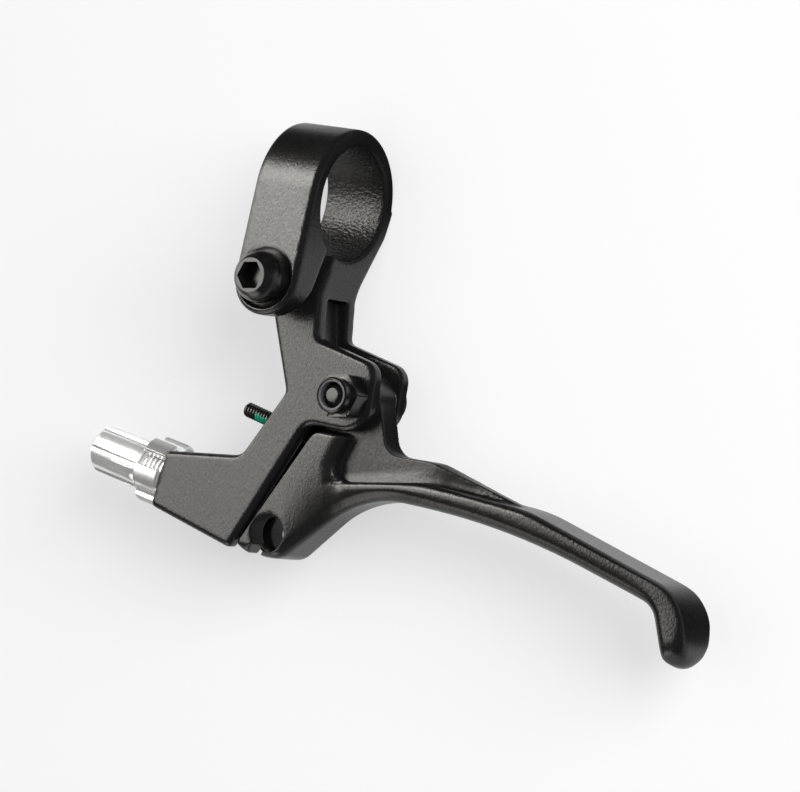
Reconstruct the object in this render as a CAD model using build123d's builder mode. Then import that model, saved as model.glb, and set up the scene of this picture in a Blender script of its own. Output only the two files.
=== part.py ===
from build123d import *
import os
from math import cos, pi, radians, sin, tan

os.makedirs("parts", exist_ok=True)

# Bar clamp
bar_dia = 22.2
ring_wall = 3.3
clamp_width = 14.2
clamp_edge_break = 0.8
bore_chamfer = 0.5
strap_slant = 5.5
strap_bolt_drop = 16.85
slit_slant = 20.0
slit_width = 2.75
slit_foot_drop = 18.2
neck_flare = 30.0
neck_blend = 10.0
neck_lap = 0.5

# Bracket body
body_width = 13.4
cheek_wall = 3.05
body_edge_break = 0.7
neck_shoulder = 1.5
neck_waist = (2.6, -37.8)
arm_shoulder = (-5.2, -51.3)
arm_heel = (-4.5, -69.4)
cheek_crotch = (8.6, -43.0)
cheek_notch = (8.0, -26.6)
cheek_reach = 5.0
cheek_above = 6.8
cheek_below = 6.7
window_top_drop = 18.9
window_floor_x = 4.3
channel_depth = 5.0
channel_round = 3.0
pivot_clear = 9.2
waist_round = 2.0
shoulder_round = 3.0
crotch_round = 3.0
cheek_low_round = 5.8
cheek_top_round = 3.5
notch_round = 1.2

# Pivot
pivot_x = 17.2
pivot_y = -36.6
pivot_bolt_dia = 5.0
pivot_fit = 0.03
pivot_head_dia = 8.4
pivot_head_height = 2.2
pivot_key_flats = 3.0
pivot_key_depth = 1.6
pivot_end_chamfer = 1.2
pivot_end_sink = 0.5
pivot_head_break = 1.1
nut_flats = 8.0
nut_hex_height = 3.9
nut_height = 6.3
collar_dia = 6.8
collar_lip = 0.35
collar_break = 0.3
nut_corner_break = 0.15
nut_turn = 10.0
insert_height = 1.6
insert_sink = 0.3
bush_wall = 1.0
washer_dia = 9.0
washer_height = 0.4
side_play = 0.1

# Lever
lever_width = 12.0
lever_web = 5.4
lever_boss_dia = 9.6
lever_edge_break = 0.5
finger_round = 2.3
arm_top_left = (10.1, -43.9)
arm_top_right = (17.4, -44.1)
nose_left = (-3.6, -68.2)
nose_bottom = (-0.9, -69.9)
nose_right = (6.3, -69.8)
blade_root = (21.8, -54.4)
blade_root_round = 22.0
blade_sag = (53.8, -55.1)
blade_sag_round = 150.0
hook_inner = (87.1, -64.2)
hook_end_inner = (91.2, -75.2)
hook_end_outer = (95.1, -73.8)
hook_side = (95.4, -70.0)
hook_outer = (93.3, -61.2)
hook_outer_round = 10.0
hook_inner_round = 4.5
hook_end_round = 2.4
rib_end = (58.5, -51.4)
rib_crest = (36.0, -49.9)
rib_round = 30.0
pocket_corner = (13.8, -53.3)
pocket_round = 3.0
web_tail = (58.5, -51.9)
web_brow = (35.5, -46.0)
web_armpit = (25.2, -46.2)
web_tail_width = 1.8
web_brow_round = 12.0
web_armpit_round = 4.0
arm_corner = 2.8
nose_round = 0.8
nose_corner = 4.5
web_taper_start = 36.0

# Cable line
nipple_x = 3.3
nipple_y = -65.1
nipple_hole_dia = 7.5
cable_tilt = 9.0
cable_slot = 2.2
slot_mouth_angle = 239.0
slot_swing_from = 132.0
mouth_width = 2.4
boss_end = (-23.5, -58.4)
boss_above = 5.3
boss_below = 6.0
boss_corner = 1.0
boss_thread_depth = 12.0
cable_hole_dia = 3.0

# Cable adjuster
adjuster_thread_dia = 8.0
thread_fit = 0.03
barrel_dia = 9.9
barrel_length = 12.0
barrel_end_round = 1.2
barrel_taper = 1.2
barrel_engaged = 8.0
barrel_bore_dia = 2.4
housing_dia = 5.2
housing_depth = 9.0
flute_count = 6
barrel_flute_dia = 2.2
barrel_flute_cut = 0.7
jam_nut_dia = 13.6
jam_nut_height = 6.0
jam_nut_seat_gap = 0.15
jam_nut_barrel_gap = 1.0
jam_nut_flute_dia = 4.4
jam_nut_flute_cut = 1.1
jam_nut_edge_break = 0.4
jam_nut_slot = 2.8
jam_nut_slot_angle = 22.0

# Clamp bolt
clamp_bolt_dia = 6.0
clamp_bolt_slack = 0.2
clamp_head_dia = 10.0
clamp_head_height = 5.7
clamp_head_rim = 2.2
clamp_face_dia = 6.6
clamp_key_turn = 8.0
clamp_key_flats = 5.0
clamp_key_depth = 3.2
clamp_bolt_tail = 1.2
spot_face_dia = 11.8
spot_face_sink = 0.2

# Reach screw
reach_screw_dia = 3.0
reach_screw_length = 18.5
reach_screw_mid = (-4.9, -43.5)
reach_screw_tilt = 12.0
reach_tip_gap = 0.1
reach_tip_chamfer = 0.9
reach_key_flats = 1.5
reach_key_depth = 1.6
reach_end_chamfer = 0.35

# Shared values
bar_r = bar_dia / 2
ring_r = bar_r + ring_wall
clamp_half = clamp_width / 2
body_half = body_width / 2
slot_half = body_half - cheek_wall
lever_half = lever_width / 2
web_half = lever_web / 2
boss_half = slot_half - washer_height - side_play
pivot = (pivot_x, pivot_y)
nipple = (nipple_x, nipple_y)
pivot_r = pivot_bolt_dia / 2
bush_r = pivot_r + pivot_fit + bush_wall
lever_boss_r = lever_boss_dia / 2
adjuster_r = adjuster_thread_dia / 2
through = hook_end_outer[0]
tolerance = 0.001
hex_sides = 6
groove_reach = 2 * nipple_hole_dia
slot_swing = slot_mouth_angle - slot_swing_from
insert_r = collar_dia / 2 - collar_lip
nut_corner_r = nut_flats / 2 / cos(pi / hex_sides) - nut_corner_break
flute_start = -90.0
jam_nut_turn = jam_nut_slot_angle + flute_start
barrel_flute_at = (barrel_dia + barrel_flute_dia) / 2 - barrel_flute_cut
jam_nut_flute_at = (jam_nut_dia + jam_nut_flute_dia) / 2 - jam_nut_flute_cut


def on_line(start, end, height):
    """Point at a height on the line through two points."""
    share = (height - start[1]) / (end[1] - start[1])
    return (start[0] + share * (end[0] - start[0]), height)


# Lines of the slit and of the strap, in the plane across the bar
slit_rise = tan(radians(slit_slant))
slit_gap = slit_width / cos(radians(slit_slant))
strap_rise = tan(radians(strap_slant))
strap_top = (ring_r * sin(radians(strap_slant)), ring_r * cos(radians(strap_slant)))
strap_end_y = -strap_bolt_drop - clamp_width
slit_low_in = body_half - slit_foot_drop * slit_rise
slit_low_out = body_half + (-strap_end_y - slit_foot_drop) * slit_rise
strap_end_z = strap_top[1] + (strap_top[0] - strap_end_y) * strap_rise
flare = radians(neck_flare)
flare_top = (-ring_r * sin(flare), -ring_r * cos(flare))
flare_foot = (flare_top[0] + (flare_top[1] + body_half) / tan(flare), -body_half)
spot_face_top = strap_bolt_drop - spot_face_dia / 2
spot_face_z = strap_top[1] + (strap_top[0] + spot_face_top) * strap_rise - spot_face_sink

# Sides of the neck, shared by the neck and the body
flare_blend = neck_blend * tan(flare / 2)
neck_back = (-clamp_half, flare_foot[0] + flare_blend * cos(flare) + neck_shoulder)
neck_low = min(flare_foot[0] - flare_blend, -slit_foot_drop) - neck_lap
body_back = on_line(neck_back, neck_waist, -slit_foot_drop)
body_front = (clamp_half, -slit_foot_drop)

# The cable's line runs out through the boss
cable_dir = Vector(-1, 0).rotate(Axis.Z, -cable_tilt)
cable_up = cable_dir.rotate(Axis.Z, -90)
boss_top = Vector(boss_end) + cable_up * boss_above
boss_low = Vector(boss_end) - cable_up * boss_below
boss_reach = (nipple_x - boss_end[0]) / cos(radians(cable_tilt))
boss_plane = Plane(origin=Vector(boss_end), x_dir=cable_up, z_dir=cable_dir)
cable_axis = Axis(Vector(boss_end), cable_dir)
jam_nut_plane = boss_plane.offset(jam_nut_seat_gap)
barrel_plane = jam_nut_plane.offset(jam_nut_height + jam_nut_barrel_gap)
shank_length = barrel_engaged + jam_nut_seat_gap + jam_nut_height + jam_nut_barrel_gap

# The channel in the arm runs beside the arm's inner edge
arm_run = Vector(cheek_crotch) - Vector(arm_heel)
channel_top = Vector(cheek_crotch) + arm_run.normalized().rotate(Axis.Z, 90) * channel_depth
channel_low = channel_top - arm_run * 2

# The reach screw ends just short of the edge of the lever's arm
reach_dir = Vector(-1, 0).rotate(Axis.Z, -reach_screw_tilt)
reach_up = reach_dir.rotate(Axis.Z, -90)
arm_out = (Vector(arm_top_left) - Vector(nose_left)).normalized().rotate(Axis.Z, 90)
reach_lean = radians(reach_dir.get_angle(arm_out))
reach_run = (Vector(reach_screw_mid) - Vector(nose_left)).dot(arm_out) / cos(reach_lean)
reach_tip_r = reach_screw_dia / 2 - reach_tip_chamfer
reach_setback = reach_tip_r * tan(reach_lean) + reach_tip_gap
reach_tip = Vector(reach_screw_mid) - reach_dir * (reach_run - reach_setback)
reach_plane = Plane(origin=reach_tip, x_dir=reach_up, z_dir=reach_dir)
reach_axis = Axis(reach_tip, reach_dir)

# Ring that goes round the bar
with BuildPart() as ring_form:
    with BuildSketch(Plane.YZ):
        Circle(ring_r)
    extrude(amount=clamp_half, both=True)
    chamfer(edges().filter_by(GeomType.CIRCLE), clamp_edge_break)

# Strap that runs down from the ring to the clamp bolt, with a round end
with BuildPart() as strap_form:
    with BuildSketch(Plane.YZ):
        with BuildLine():
            Polyline(
                (0, 0),
                strap_top,
                (strap_end_y, strap_end_z),
                (strap_end_y, slit_low_out + slit_gap),
                (0, slit_low_in + slit_gap),
                close=True,
            )
        make_face()
    extrude(amount=clamp_half, both=True)
    with BuildSketch(Plane.XY):
        with Locations((0, -strap_bolt_drop)):
            Circle(clamp_half)
            Rectangle(clamp_width, strap_bolt_drop + 2 * ring_r, align=(Align.CENTER, Align.MIN))
    extrude(amount=through, both=True, mode=Mode.INTERSECT)
    strap_face = faces().filter_by(GeomType.PLANE).sort_by(Axis.Z)[-1]
    chamfer(strap_face.edges().filter_by(Axis.X, reverse=True), clamp_edge_break)

# Neck that flares from the body up to the ring
with BuildPart() as neck_form:
    with BuildSketch(Plane.YZ):
        with BuildLine():
            FilletPolyline(
                (0, -ring_r),
                flare_top,
                flare_foot,
                (neck_low, -body_half),
                (neck_low, body_half),
                (-slit_foot_drop, body_half),
                (0, slit_low_in),
                radius=(0, 0, neck_blend, 0, 0, 0, 0),
                close=True,
            )
        make_face()
    extrude(amount=through, both=True)
    with BuildSketch(Plane.XY):
        with BuildLine():
            Polyline(
                (-clamp_half, 0),
                neck_back,
                neck_waist,
                (clamp_half, neck_waist[1]),
                (clamp_half, 0),
                close=True,
            )
        make_face()
    extrude(amount=through, both=True, mode=Mode.INTERSECT)
    neck_edges = edges().filter_by(Axis.X, reverse=True).filter_by(Axis.Z, reverse=True)
    chamfer(neck_edges.filter_by(lambda edge: edge.center().Y < flare_top[0]), body_edge_break)

# Bracket
body_rounds = (0, waist_round, shoulder_round, boss_corner, boss_corner, boss_corner)
body_rounds += (crotch_round, cheek_low_round, cheek_top_round, notch_round, 0)
with BuildPart() as bracket:
    with BuildSketch(Plane.XY):
        with BuildLine():
            FilletPolyline(
                body_back,
                neck_waist,
                arm_shoulder,
                boss_top,
                boss_low,
                arm_heel,
                cheek_crotch,
                (pivot_x + cheek_reach, pivot_y - cheek_below),
                (pivot_x + cheek_reach, pivot_y + cheek_above),
                cheek_notch,
                body_front,
                radius=body_rounds,
                close=True,
            )
        make_face()
    extrude(amount=body_half, both=True)
    chamfer(faces().filter_by(Axis.Z).edges(), body_edge_break)
    add(neck_form.part)
    add(ring_form.part)
    add(strap_form.part)

    # Bore for the bar, chamfered at both ends
    with BuildSketch(Plane.XY):
        with BuildLine():
            Polyline(
                (-clamp_half, 0),
                (-clamp_half, bar_r + bore_chamfer),
                (bore_chamfer - clamp_half, bar_r),
                (clamp_half - bore_chamfer, bar_r),
                (clamp_half, bar_r + bore_chamfer),
                (clamp_half, 0),
                close=True,
            )
        make_face()
    revolve(axis=Axis.X, mode=Mode.SUBTRACT)
    # Slit that lets the clamp close
    with BuildSketch(Plane.YZ):
        with BuildLine():
            Polyline(
                (0, slit_low_in),
                (strap_end_y, slit_low_out),
                (strap_end_y, slit_low_out + slit_gap),
                (0, slit_low_in + slit_gap),
                close=True,
            )
        make_face()
    extrude(amount=through, both=True, mode=Mode.SUBTRACT)
    # Channel between the cheeks, open at the front from the neck's window to the arm
    with BuildSketch(Plane.XY):
        with BuildLine():
            FilletPolyline(
                (window_floor_x, -window_top_drop),
                (pivot_x - pivot_clear, pivot_y),
                channel_top,
                channel_low,
                (pivot_x + through, channel_low.Y),
                (pivot_x + through, -window_top_drop),
                radius=(0, channel_round, channel_round, 0, 0, 0),
                close=True,
            )
        make_face()
    extrude(amount=slot_half, both=True, mode=Mode.SUBTRACT)
    # Holes for the pivot bolt and for the clamp bolt
    with BuildSketch(Plane.XY):
        with Locations(pivot):
            Circle(pivot_r + pivot_fit)
        with Locations((0, -strap_bolt_drop)):
            Circle(clamp_bolt_dia / 2 + thread_fit)
    extrude(amount=through, both=True, mode=Mode.SUBTRACT)
    with BuildSketch(Plane.XY.offset(body_half)):
        with Locations((0, -strap_bolt_drop)):
            Circle(clamp_bolt_dia / 2 + clamp_bolt_slack)
    extrude(amount=through, mode=Mode.SUBTRACT)
    with BuildSketch(Plane.XY.offset(spot_face_z)):
        with Locations((0, -strap_bolt_drop)):
            Circle(spot_face_dia / 2)
    extrude(amount=through, mode=Mode.SUBTRACT)
    # Threaded boss for the cable adjuster, with the slot the cable goes in by
    with BuildSketch(boss_plane):
        Circle(adjuster_r + thread_fit)
    extrude(amount=-boss_thread_depth, mode=Mode.SUBTRACT)
    with BuildSketch(boss_plane):
        Circle(cable_hole_dia / 2)
        Rectangle(2 * boss_below, cable_slot, align=(Align.MAX, Align.CENTER))
    extrude(amount=-boss_reach, mode=Mode.SUBTRACT)
    # Hole for the reach screw
    with BuildSketch(reach_plane):
        Circle(reach_screw_dia / 2 + thread_fit)
    extrude(amount=through, mode=Mode.SUBTRACT)

bracket.part.label = "bracket"
export_step(bracket.part, "parts/bracket.step")

# Web between the lever's pivot and its blade, thinner towards the tip
with BuildPart() as web_form:
    with BuildSketch(Plane.XY):
        with BuildLine():
            FilletPolyline(
                pivot,
                (pivot_x - lever_boss_r, pivot_y),
                arm_top_left,
                pocket_corner,
                web_tail,
                web_brow,
                web_armpit,
                (pivot_x + lever_boss_r, pivot_y),
                radius=(0, 0, 0, 0, 0, web_brow_round, web_armpit_round, 0),
                close=True,
            )
        make_face()
    extrude(amount=web_half, both=True)
    with BuildSketch(Plane.XZ):
        with BuildLine():
            Polyline(
                (arm_top_left[0] - lever_width, -web_half),
                (web_taper_start, -web_half),
                (web_tail[0], -web_tail_width / 2),
                (web_tail[0], web_tail_width / 2),
                (web_taper_start, web_half),
                (arm_top_left[0] - lever_width, web_half),
                close=True,
            )
        make_face()
    extrude(amount=through, both=True, mode=Mode.INTERSECT)

# Lever
finger_bends = (nose_corner, blade_root_round, blade_sag_round, hook_inner_round)
finger_bends += (hook_end_round, hook_end_round)
bar_bends = (hook_outer_round, rib_round, rib_round, pocket_round, 0, arm_corner, nose_round)
with BuildPart() as lever_blade:
    with BuildSketch(Plane.XY):
        with BuildLine():
            finger_side = FilletPolyline(
                nose_bottom,
                nose_right,
                blade_root,
                blade_sag,
                hook_inner,
                hook_end_inner,
                hook_end_outer,
                hook_side,
                radius=finger_bends,
            )
            bar_side = FilletPolyline(
                hook_side,
                hook_outer,
                rib_end,
                rib_crest,
                pocket_corner,
                arm_top_right,
                arm_top_left,
                nose_left,
                nose_bottom,
                radius=bar_bends,
            )
        make_face()
    extrude(amount=lever_half, both=True)
    rims = faces().filter_by(Axis.Z).edges()
    rim_reach = lever_half + tolerance
    fillet(rims.filter_by(lambda rim: finger_side.distance_to(rim @ 0.5) < rim_reach), finger_round)
    rims = faces().filter_by(Axis.Z).edges()
    chamfer(rims.filter_by(lambda rim: bar_side.distance_to(rim @ 0.5) < rim_reach), lever_edge_break)
    add(web_form.part)
    # Pivot boss, a little proud of the web
    with BuildSketch(Plane.XY):
        with Locations(pivot):
            Circle(lever_boss_r)
    extrude(amount=boss_half, both=True)
    # Holes for the bush and for the cable's nipple
    with BuildSketch(Plane.XY):
        with Locations(pivot):
            Circle(bush_r)
        with Locations(nipple):
            Circle(nipple_hole_dia / 2)
    extrude(amount=through, both=True, mode=Mode.SUBTRACT)
    # Groove the cable swings in, and the mouth it goes in by from the near side
    with BuildSketch(Plane.XY):
        with Locations(Location((nipple_x, nipple_y, 0), (0, 0, slot_mouth_angle))):
            Rectangle(nipple_hole_dia, mouth_width, align=(Align.MIN, Align.CENTER))
    extrude(amount=through, mode=Mode.SUBTRACT)
    with BuildSketch(Plane.XY):
        with BuildLine():
            PolarLine(nipple, groove_reach, slot_swing_from)
            groove_arc = CenterArc(nipple, groove_reach, slot_swing_from, slot_swing)
            Line(groove_arc @ 1, nipple)
        make_face()
    extrude(amount=cable_slot / 2, both=True, mode=Mode.SUBTRACT)

lever_blade.part.label = "lever_blade"
export_step(lever_blade.part, "parts/lever_blade.step")

# Clamp bolt, with a domed socket head on the strap's spot face
clamp_seat = (0, -strap_bolt_drop, spot_face_z)
clamp_bolt_plane = Plane(origin=clamp_seat, x_dir=(1, 0, 0), z_dir=(0, -1, 0))
clamp_head_r = clamp_head_dia / 2
with BuildPart() as clamp_bolt:
    with BuildSketch(clamp_bolt_plane):
        with BuildLine():
            head_side = Polyline(
                (0, clamp_head_height),
                (0, 0),
                (clamp_head_r, 0),
                (clamp_head_r, clamp_head_rim),
            )
            head_dome = TangentArc(head_side @ 1, (clamp_face_dia / 2, clamp_head_height), tangent=(0, 1))
            Line(head_dome @ 1, head_side @ 0)
        make_face()
    revolve(axis=Axis(clamp_seat, (0, 0, 1)))
    with BuildSketch(Plane.XY.offset(spot_face_z)):
        with Locations((0, -strap_bolt_drop)):
            Circle(clamp_bolt_dia / 2)
    extrude(amount=-(spot_face_z + body_half - clamp_bolt_tail))
    with BuildSketch(Plane.XY.offset(spot_face_z + clamp_head_height)):
        with Locations((0, -strap_bolt_drop)):
            RegularPolygon(clamp_key_flats / 2, hex_sides, major_radius=False, rotation=clamp_key_turn)
    extrude(amount=-clamp_key_depth, mode=Mode.SUBTRACT)

clamp_bolt.part.label = "clamp_bolt"
export_step(clamp_bolt.part, "parts/clamp_bolt.step")

# Pivot bolt, with its button head on the far cheek
with BuildPart() as pivot_bolt:
    with BuildSketch(Plane.XY.offset(-body_half)):
        with Locations(pivot):
            Circle(pivot_head_dia / 2)
    extrude(amount=-pivot_head_height)
    chamfer(edges().sort_by(Axis.Z)[0], pivot_head_break)
    with BuildSketch(Plane.XY.offset(-body_half)):
        with Locations(pivot):
            Circle(pivot_r)
    extrude(amount=body_width + nut_height - pivot_end_sink)
    chamfer(edges().sort_by(Axis.Z)[-1], pivot_end_chamfer)
    with BuildSketch(Plane.XY.offset(-body_half - pivot_head_height)):
        with Locations(pivot):
            RegularPolygon(pivot_key_flats / 2, hex_sides, major_radius=False)
    extrude(amount=pivot_key_depth, mode=Mode.SUBTRACT)

pivot_bolt.part.label = "pivot_bolt"
export_step(pivot_bolt.part, "parts/pivot_bolt.step")

# Pivot lock nut, a hex with a round collar
with BuildPart() as pivot_lock_nut:
    with BuildSketch(Plane.XY.offset(body_half)):
        with Locations(pivot):
            RegularPolygon(nut_flats / 2, hex_sides, major_radius=False, rotation=nut_turn)
    extrude(amount=nut_hex_height)
    with BuildSketch(Plane.XY.offset(body_half)):
        with Locations(pivot):
            Circle(nut_corner_r)
    extrude(amount=nut_hex_height, mode=Mode.INTERSECT)
    with BuildSketch(Plane.XY.offset(body_half)):
        with Locations(pivot):
            Circle(collar_dia / 2)
    extrude(amount=nut_height)
    chamfer(edges().sort_by(Axis.Z)[-1], collar_break)
    with BuildSketch(Plane.XY.offset(body_half)):
        with Locations(pivot):
            Circle(pivot_r + thread_fit)
    extrude(amount=nut_height, mode=Mode.SUBTRACT)
    with BuildSketch(Plane.XY.offset(body_half + nut_height)):
        with Locations(pivot):
            Circle(insert_r)
    extrude(amount=-(insert_sink + insert_height), mode=Mode.SUBTRACT)

pivot_lock_nut.part.label = "pivot_lock_nut"
export_step(pivot_lock_nut.part, "parts/pivot_lock_nut.step")

# Locking ring inside the nut's collar
with BuildPart() as pivot_nut_insert:
    with BuildSketch(Plane.XY.offset(body_half + nut_height - insert_sink)):
        with Locations(pivot):
            Circle(insert_r)
            Circle(pivot_r + thread_fit, mode=Mode.SUBTRACT)
    extrude(amount=-insert_height)

pivot_nut_insert.part.label = "pivot_nut_insert"
export_step(pivot_nut_insert.part, "parts/pivot_nut_insert.step")

# Bush in the lever's pivot hole
with BuildPart() as pivot_bush:
    with BuildSketch(Plane.XY):
        with Locations(pivot):
            Circle(bush_r)
            Circle(pivot_r + pivot_fit, mode=Mode.SUBTRACT)
    extrude(amount=boss_half, both=True)

pivot_bush.part.label = "pivot_bush"
export_step(pivot_bush.part, "parts/pivot_bush.step")

# Thin washers between the lever and the cheeks
with BuildPart() as pivot_washer_near:
    with BuildSketch(Plane.XY.offset(slot_half)):
        with Locations(pivot):
            Circle(washer_dia / 2)
            Circle(pivot_r + pivot_fit, mode=Mode.SUBTRACT)
    extrude(amount=-washer_height)

pivot_washer_near.part.label = "pivot_washer_near"
export_step(pivot_washer_near.part, "parts/pivot_washer_near.step")

with BuildPart() as pivot_washer_far:
    with BuildSketch(Plane.XY.offset(-slot_half)):
        with Locations(pivot):
            Circle(washer_dia / 2)
            Circle(pivot_r + pivot_fit, mode=Mode.SUBTRACT)
    extrude(amount=washer_height)

pivot_washer_far.part.label = "pivot_washer_far"
export_step(pivot_washer_far.part, "parts/pivot_washer_far.step")

# Reach screw, from its tip by the lever out through the arm
with BuildPart() as reach_screw:
    with BuildSketch(reach_plane):
        Circle(reach_screw_dia / 2)
    extrude(amount=reach_screw_length)
    chamfer(edges().sort_by(reach_axis)[0], reach_tip_chamfer)
    chamfer(edges().sort_by(reach_axis)[-1], reach_end_chamfer)
    with BuildSketch(reach_plane.offset(reach_screw_length)):
        RegularPolygon(reach_key_flats / 2, hex_sides, major_radius=False)
    extrude(amount=-reach_key_depth, mode=Mode.SUBTRACT)

reach_screw.part.label = "reach_screw"
export_step(reach_screw.part, "parts/reach_screw.step")

# Cable adjuster barrel, fluted, with the housing's seat and the cable's slot
with BuildPart() as adjuster_barrel:
    with BuildSketch(barrel_plane):
        Circle(barrel_dia / 2)
    extrude(amount=barrel_length, taper=barrel_taper)
    fillet(edges().sort_by(cable_axis)[-1], barrel_end_round)
    with BuildSketch(barrel_plane):
        with PolarLocations(barrel_flute_at, flute_count, start_angle=flute_start):
            Circle(barrel_flute_dia / 2)
    extrude(amount=barrel_length, mode=Mode.SUBTRACT)
    with BuildSketch(barrel_plane):
        Circle(adjuster_r)
    extrude(amount=-shank_length)
    with BuildSketch(barrel_plane.offset(barrel_length)):
        Circle(housing_dia / 2)
    extrude(amount=-housing_depth, mode=Mode.SUBTRACT)
    with BuildSketch(barrel_plane.offset(barrel_length)):
        Circle(barrel_bore_dia / 2)
        Rectangle(barrel_dia, cable_slot, align=(Align.MAX, Align.CENTER))
    extrude(amount=-(barrel_length + shank_length), mode=Mode.SUBTRACT)

adjuster_barrel.part.label = "adjuster_barrel"
export_step(adjuster_barrel.part, "parts/adjuster_barrel.step")

# Lock nut on the adjuster's thread, lobed and slotted
with BuildPart() as adjuster_lock_nut:
    with BuildSketch(jam_nut_plane):
        Circle(jam_nut_dia / 2)
        with PolarLocations(jam_nut_flute_at, flute_count, start_angle=jam_nut_turn):
            Circle(jam_nut_flute_dia / 2, mode=Mode.SUBTRACT)
    extrude(amount=jam_nut_height)
    chamfer(faces().filter_by(cable_axis).edges(), jam_nut_edge_break)
    with BuildSketch(jam_nut_plane):
        Circle(adjuster_r + thread_fit)
        with Locations(Location((0, 0, 0), (0, 0, jam_nut_turn))):
            Rectangle(jam_nut_dia, jam_nut_slot, align=(Align.MIN, Align.CENTER))
    extrude(amount=jam_nut_height, mode=Mode.SUBTRACT)

adjuster_lock_nut.part.label = "adjuster_lock_nut"
export_step(adjuster_lock_nut.part, "parts/adjuster_lock_nut.step")
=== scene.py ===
from math import cos, pi, radians, sin, tau

import bpy
import numpy as np
from bpy.props import FloatProperty, FloatVectorProperty, IntProperty, PointerProperty
from mathutils import Matrix, Vector


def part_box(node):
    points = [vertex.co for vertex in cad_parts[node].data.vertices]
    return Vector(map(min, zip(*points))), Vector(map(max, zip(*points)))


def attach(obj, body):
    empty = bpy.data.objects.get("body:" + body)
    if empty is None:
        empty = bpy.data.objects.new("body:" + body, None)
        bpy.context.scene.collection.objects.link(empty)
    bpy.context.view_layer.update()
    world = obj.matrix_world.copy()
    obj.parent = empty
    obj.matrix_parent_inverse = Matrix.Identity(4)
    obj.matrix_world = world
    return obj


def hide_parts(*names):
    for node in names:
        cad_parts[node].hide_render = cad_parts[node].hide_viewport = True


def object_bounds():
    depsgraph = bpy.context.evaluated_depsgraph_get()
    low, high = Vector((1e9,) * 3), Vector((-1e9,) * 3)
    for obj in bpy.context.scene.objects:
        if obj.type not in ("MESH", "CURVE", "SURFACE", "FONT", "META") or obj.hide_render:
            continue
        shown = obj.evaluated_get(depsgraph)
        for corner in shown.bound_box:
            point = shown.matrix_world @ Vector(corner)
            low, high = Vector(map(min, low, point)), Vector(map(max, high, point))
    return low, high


bl_info = {
    "name": "Bicycle brake lever",
    "version": (1, 0, 0),
    "blender": (4, 5, 0),
    "location": "View3D > Sidebar > Brake lever",
    "description": "Gives the packed brake lever its castings, threads, finishes and studio",
    "category": "Object",
}

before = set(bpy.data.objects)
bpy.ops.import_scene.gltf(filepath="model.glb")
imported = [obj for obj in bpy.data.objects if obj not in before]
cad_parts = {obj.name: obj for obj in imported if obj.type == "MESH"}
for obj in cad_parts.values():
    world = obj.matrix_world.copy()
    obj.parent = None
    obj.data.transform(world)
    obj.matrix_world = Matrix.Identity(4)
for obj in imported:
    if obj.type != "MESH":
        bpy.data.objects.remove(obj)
CAD_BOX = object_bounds()
MM = 0.001

# Places and sizes of the solids
BAR_R = 11.1 * MM
WEB_HALF_MM = 2.7
WEB_TOP = WEB_HALF_MM * MM
RING_FOOT = (-32 * MM, -28 * MM)
NIPPLE = Vector((3.3, -65.1, 0)) * MM
NIPPLE_RIM = 4.0 * MM
CABLE_SLOPE = radians(9)
CABLE_DIR = Vector((-cos(CABLE_SLOPE), sin(CABLE_SLOPE), 0))
BOSS_END = Vector((-23.5, -58.4, 0)) * MM
BARREL_SEAT = BOSS_END + CABLE_DIR * 7.15 * MM
SHANK_R = 4.0 * MM
SHANK_LENGTH = 15.15 * MM
CABLE_HOLE_R = 1.2 * MM
CABLE_SLOT_WIDTH = 2.2 * MM
LOBES_FROM = 6.35 * MM
REACH_SLOPE = radians(12)
REACH_DIR = Vector((-cos(REACH_SLOPE), sin(REACH_SLOPE), 0))
REACH_R = 1.5 * MM
REACH_LENGTH = 18.5 * MM


class LeverSizes(bpy.types.PropertyGroup):
    """Sizes of the castings' skin, the edges and the threads."""

    casting_grain: FloatProperty(
        name="Casting grain",
        description="Size of the faces of the cast skin",
        default=0.33 * MM,
        unit="LENGTH",
        precision=5,
    )
    casting_passes: IntProperty(
        name="Casting passes",
        description="How often the cast skin is evened, which rounds its edges",
        default=5,
        min=0,
    )
    crown_drop: FloatProperty(
        name="Crown drop",
        description="Share of its thickness that the lever loses at its finger side",
        default=0.28,
        subtype="FACTOR",
    )
    rib_drop: FloatProperty(
        name="Rib drop",
        description="Share of its height that the rib loses at its edge",
        default=0.10,
        subtype="FACTOR",
    )
    arm_drop: FloatProperty(
        name="Arm drop",
        description="Share of its height above the web that the arm loses at its edge",
        default=0.20,
        subtype="FACTOR",
    )
    foot_lift: FloatProperty(
        name="Foot lift",
        description="Height of the fillet between the web and the rib, in millimetres",
        default=1.0,
    )
    tail_dip: FloatProperty(
        name="Tail dip",
        description="How much lower the web's tail is beside the rib, in millimetres",
        default=1.0,
    )
    edge_break: FloatProperty(
        name="Edge break",
        description="Width of the broken edges of turned and milled pieces",
        default=0.12 * MM,
        unit="LENGTH",
        precision=5,
    )
    reach_pitch: FloatProperty(
        name="Reach screw pitch",
        description="Distance between two turns of the reach screw's thread",
        default=0.65 * MM,
        unit="LENGTH",
        precision=5,
    )
    adjuster_pitch: FloatProperty(
        name="Adjuster pitch",
        description="Distance between two turns of the adjuster's thread",
        default=1.0 * MM,
        unit="LENGTH",
        precision=5,
    )


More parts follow.
